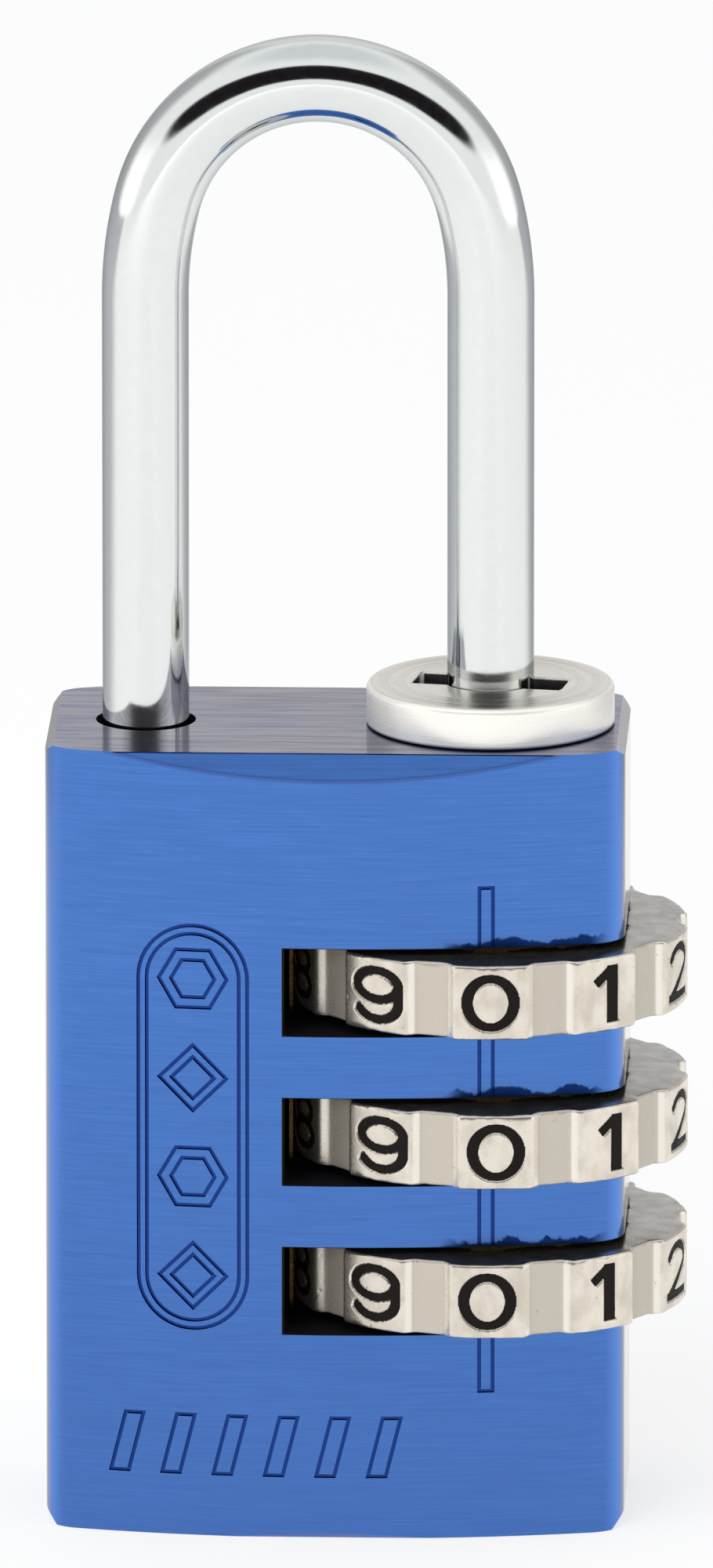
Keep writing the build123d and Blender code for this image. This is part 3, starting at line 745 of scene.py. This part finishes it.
def turned_nickel(name):
    """Nickel plate over the rings that a lathe tool leaves, with painted light on its upright side
    and painted shade at its foot and in its bore.
    """
    material, nodes, shader = new_material(name)
    x, y, z = nodes.split(nodes.coordinates())
    radius = nodes.distance(x, y, AXIS_X / MM)
    place = nodes.add("ShaderNodeCombineXYZ", {0: radius, 1: z}).outputs[0]
    rings = nodes.noise(place, 11.0, 2.0, 0.6)
    stain = nodes.noise(nodes.coordinates(), 1.1, 4.0)
    upright = nodes.rest(level_share(nodes))
    colour = nodes.mix(nodes.ramp(rings, 0.3, 0.7), *TURNED_RINGS)
    colour = nodes.mix(nodes.ramp(stain, 0.55, 0.75, 0.0, 0.3), colour, TURNED_STAIN)
    # painted light: the upright side is made brighter
    colour = nodes.mix(nodes.product(upright, 0.8), colour, TURNED_PAINTED_SIDE_LIGHT)
    seat = BODY_TOP / MM
    top = COLLAR_HIGH.z / MM
    foot = nodes.ramp(z, seat + 0.02, seat + 0.16, 1.0, 0.0)
    sunk = nodes.ramp(radius, 2.66, 2.72, 1.0, 0.0)
    below = nodes.ramp(z, top - 0.10, top - 0.04, 1.0, 0.0)
    dark = nodes.largest(foot, nodes.product(sunk, below))
    feed(
        nodes,
        shader,
        Base_Color=nodes.mix(dark, colour, TURNED_SHADE),
        Metallic=nodes.rest(nodes.product(upright, 0.60)),
        Roughness=nodes.ramp(rings, 0.3, 0.7, 0.24, 0.34),
        Specular_Tint=(0.9, 0.9, 0.9, 1),
        Normal=nodes.bump(rings, 0.008 * MM, 0.3),
    )
    return material


def cast_nickel(name):
    """Nickel plated zinc casting: warm and satin, with grain, stains and a few pits; painted shade
    in its valleys and on its flats, painted highlights on its valley walls.
    """
    material, nodes, shader = new_material(name)
    x, y = nodes.split(nodes.coordinates())[:2]
    grain = nodes.noise(nodes.coordinates(), 14.0, 3.0, 0.6)
    pits = nodes.noise(nodes.coordinates(), 4.2, 2.0, 0.5)
    blotch = nodes.noise(nodes.coordinates((1, 1, 0.7)), 1.3, 4.0)
    scrape = nodes.noise(nodes.coordinates((0.9, 0.9, 12.0)), 1.0, 3.0)
    flat = level_share(nodes)
    radius = nodes.distance(x, y, AXIS_X / MM)
    inner = VALLEY_RADIUS / MM
    outer = DIAL_RADIUS / MM
    valley = nodes.ramp(radius, inner + 0.02, outer - 0.08, 1.0, 0.0)
    rising = nodes.ramp(radius, inner + 0.03, inner + 0.10)
    wall = nodes.product(rising, nodes.ramp(radius, outer - 0.13, outer - 0.04, 1.0, 0.0))
    pitted = nodes.ramp(pits, 0.72, 0.80)
    colour = nodes.mix(nodes.ramp(blotch, 0.35, 0.70), *CAST_BLOTCHES)
    # painted shade darkens the valleys; their duller, less metallic finish is set with Metallic
    # below
    colour = nodes.mix(valley, colour, CAST_VALLEY_PAINTED_SHADE)
    # painted highlight: the valley walls are made brighter
    colour = nodes.mix(nodes.product(wall, 0.8), colour, CAST_WALL_PAINTED_HIGHLIGHT)
    colour = nodes.mix(nodes.product(pitted, 0.5), colour, CAST_PIT)
    # painted shade: the level faces are made darker
    colour = nodes.mix(flat, colour, nodes.mix(nodes.ramp(blotch, 0.3, 0.7), *CAST_FLAT_PAINTED_SHADE))
    height = nodes.math("ADD", nodes.product(grain, 0.3), nodes.product(scrape, 0.15))
    height = nodes.math("SUBTRACT", height, pitted)
    dull = nodes.product(valley, nodes.ramp(flat, 0.0, 1.0, 0.50, 0.0))
    satin = nodes.ramp(grain, 0.3, 0.7, 0.26, 0.36)
    smooth = nodes.ramp(grain, 0.3, 0.7, 0.17, 0.28)
    roughness = nodes.math("ADD", satin, nodes.product(flat, nodes.math("SUBTRACT", smooth, satin)))
    feed(
        nodes,
        shader,
        Base_Color=colour,
        Metallic=nodes.math("SUBTRACT", 0.94, dull),
        Roughness=roughness,
        Normal=nodes.bump(height, 0.016 * MM, 0.5),
    )
    return material


def paint(name):
    """Black paint wiped into the numbers."""
    material, nodes, shader = new_material(name)
    patches = nodes.noise(nodes.coordinates(), 6.0, 4.0)
    feed(
        nodes,
        shader,
        Base_Color=nodes.mix(patches, *PAINT_PATCHES),
        Roughness=nodes.ramp(patches, 0.3, 0.7, 0.5, 0.7),
        Specular_IOR_Level=0.15,
        Normal=nodes.bump(patches, 0.02 * MM, 0.5),
    )
    return material


def worked_metal(name, colours, rough, stretch):
    """A plain inner metal part, with marks stretched along its working direction."""
    material, nodes, shader = new_material(name)
    marks = nodes.noise(nodes.coordinates(stretch), 1.0, 4.0, 0.6)
    feed(
        nodes,
        shader,
        Base_Color=nodes.mix(nodes.ramp(marks, 0.3, 0.7), *colours),
        Metallic=1.0,
        Roughness=nodes.ramp(marks, 0.3, 0.7, rough - 0.06, rough + 0.08),
        Normal=nodes.bump(marks, 0.01 * MM, 0.4),
    )
    return material


def dress(thing, material):
    """Gives a piece one material in place of any that it has."""
    thing.data.materials.clear()
    thing.data.materials.append(material)


# ---- studio ----

CAMERA_AZIMUTH = math.radians(2.05)
CAMERA_ELEVATION = math.radians(13.8)
CAMERA_DISTANCE = 1.2
FRAME_HEIGHT = 54.13 * MM  # what the picture's height spans at the lock
FRAME_MIDDLE = Vector((0.62 * MM, 2.02 * MM))  # from the lock's anchor, right and up
ANCHOR = Vector((0, 0, 23.36 * MM))


def add_camera():
    """A long lens that looks from slightly right of the front and a little above."""
    back = Vector(
        (
            math.sin(CAMERA_AZIMUTH) * math.cos(CAMERA_ELEVATION),
            -math.cos(CAMERA_AZIMUTH) * math.cos(CAMERA_ELEVATION),
            math.sin(CAMERA_ELEVATION),
        )
    )
    right = Vector((math.cos(CAMERA_AZIMUTH), math.sin(CAMERA_AZIMUTH), 0))
    up = back.cross(right)
    target = ANCHOR + FRAME_MIDDLE.x * right + FRAME_MIDDLE.y * up
    data = bpy.data.cameras.new("camera")
    data.sensor_fit = "VERTICAL"
    data.sensor_height = 24
    data.lens = data.sensor_height * CAMERA_DISTANCE / FRAME_HEIGHT
    data.clip_end = 10
    camera = bpy.data.objects.new("camera", data)
    camera.location = target + CAMERA_DISTANCE * back
    camera.rotation_euler = back.to_track_quat("Z", "Y").to_euler()
    bpy.context.scene.collection.objects.link(camera)
    bpy.context.scene.camera = camera


def add_floor():
    """A pale sheet that glows a little, softly greyer far behind the lock on both sides."""
    half = 2.0
    corners = [(-half, -half, 0), (half, -half, 0), (half, half, 0), (-half, half, 0)]
    floor = mesh_object("floor", corners, [(0, 1, 2, 3)], smooth=False)
    floor.location.z = -0.01 * MM
    material, nodes, shader = new_material("floor")
    x, y = nodes.split(nodes.coordinates())[:2]
    beside = nodes.ramp(nodes.size(x), 25.0, 70.0)
    glow = nodes.mix(beside, *FLOOR_GLOW)
    slant = nodes.math("SUBTRACT", y, nodes.product(x, 0.2))
    far = nodes.ramp(nodes.distance(x, y, 0.0), 95.0, 125.0)
    grey = nodes.product(beside, nodes.ramp(slant, -5.0, 85.0), far)
    glow = nodes.mix(grey, glow, FLOOR_GREY_GLOW)
    feed(
        nodes,
        shader,
        Base_Color=FLOOR_SHEET,
        Roughness=0.9,
        Specular_IOR_Level=0.0,
        Emission_Color=glow,
        Emission_Strength=1.0,
    )
    dress(floor, material)


def add_world():
    """A white studio with a dark oval above the camera and greyer light behind the lock.

    Directions are in degrees: elevation from the horizon, aside from straight in front.
    """
    world = bpy.data.worlds.new("studio")
    bpy.context.scene.world = world
    world.use_nodes = True
    nodes = Nodes(world.node_tree)
    direction = nodes.add("ShaderNodeTexCoord").outputs["Generated"]
    x, y, z = nodes.split(direction)
    degrees = 180 / math.pi
    elevation = nodes.product(nodes.math("ARCSINE", z), degrees)
    front = nodes.product(y, -1.0)
    aside = nodes.product(nodes.math("ARCTAN2", nodes.size(x), front), degrees)
    tall = nodes.math("DIVIDE", nodes.math("SUBTRACT", elevation, 28.0), 19.0)
    wide = nodes.math("DIVIDE", aside, 64.0)
    oval = nodes.math("ADD", nodes.product(tall, tall), nodes.product(wide, wide))
    low = nodes.ramp(elevation, 35.0, 60.0, 1.0, 0.0)
    overhead = nodes.ramp(elevation, 52.0, 76.0)
    beside = nodes.product(nodes.ramp(aside, 50.0, 70.0), nodes.ramp(elevation, 8.0, 26.0, 1.0, 0.0))
    past_side = nodes.product(nodes.ramp(aside, 95.0, 125.0), low)
    behind = nodes.product(nodes.ramp(aside, 148.0, 166.0), low)
    colour = nodes.mix(nodes.ramp(oval, 0.75, 1.15), STUDIO_OVAL, STUDIO_WHITE)
    colour = nodes.mix(overhead, colour, STUDIO_OVERHEAD)
    colour = nodes.mix(beside, colour, STUDIO_BESIDE)
    colour = nodes.mix(past_side, colour, STUDIO_PAST_SIDE)
    colour = nodes.mix(behind, colour, STUDIO_BEHIND)
    background = world.node_tree.nodes["Background"]
    nodes.put(background.inputs["Color"], colour)
    background.inputs["Strength"].default_value = 1.0


def add_light(name, location, size, power):
    """A soft square light that faces the lock, sized in metres and powered in watts."""
    data = bpy.data.lights.new(name, "AREA")
    data.size = size
    data.energy = power
    light = bpy.data.objects.new(name, data)
    light.location = location
    aim = Vector(location) - Vector((0, 0, BODY_TOP / 2))
    light.rotation_euler = aim.to_track_quat("Z", "Y").to_euler()
    light.visible_glossy = False
    bpy.context.scene.collection.objects.link(light)


# ---- assembly ----


def replace(piece, body, node, material):
    """A finer piece that stands for a CAD node, rides on its body and takes its finish."""
    dress(piece, material)
    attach(piece, body)
    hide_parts(node)


def spring_mesh():
    """A copy of the code spring, with a mesh of its own, in the node's place."""
    source = frame["nodes"]["code_spring"]
    spring = bpy.data.objects.new("code_spring_coil", source.data.copy())
    bpy.context.scene.collection.objects.link(spring)
    spring.matrix_world = source.matrix_world.copy()
    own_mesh(spring)
    return spring


def finish_nodes():
    """Materials for the CAD nodes that stay and for the code spring."""
    brass = worked_metal("sleeve_brass", BRASS, 0.30, (1.5, 1.5, 14.0))
    # painted shade: the leaves' bronze is darkened
    bronze_painted_shade = worked_metal("leaf_bronze", BRONZE_IN_PAINTED_SHADE, 0.25, (4.0, 1.0, 8.0))
    steel = worked_metal("spring_steel", SPRING_STEEL, 0.32, (6.0, 6.0, 6.0))
    zinc = worked_metal("washer_steel", ZINC, 0.35, (5.0, 5.0, 1.0))
    blue = anodised("body_anodised")
    plug = anodised("plug_aluminium")
    black = paint("number_black")
    replace(spring_mesh(), "lock_body", "code_spring", steel)
    materials = {"body": blue, "base_plug": plug, "thrust_washer": zinc}
    for which in DIALS:
        materials[f"sleeve_{which}"] = brass
        materials[f"detent_spring_{which}"] = bronze_painted_shade
        materials[f"digits_{which}"] = black
    for node, material in materials.items():
        dress(frame["nodes"][node], material)


def build_pieces():
    """The finer shackle, collar and dials."""
    replace(shackle_mesh(), "shackle", "shackle", chrome("shackle_chrome"))
    replace(collar_mesh(), "lock_body", "collar", turned_nickel("collar_nickel"))
    casting = cast_nickel("dial_nickel")
    for which in DIALS:
        name = f"dial_{which}"
        replace(dial_mesh(which), name, name, casting)


add_camera()
add_world()
add_floor()
add_light("key", (-0.25, -0.35, 0.55), 0.35, 1.2)
add_light("fill", (-0.12, -0.60, 0.22), 0.30, 1.6)
finish_nodes()
build_pieces()

bpy.context.scene.view_settings.view_transform = "Standard"
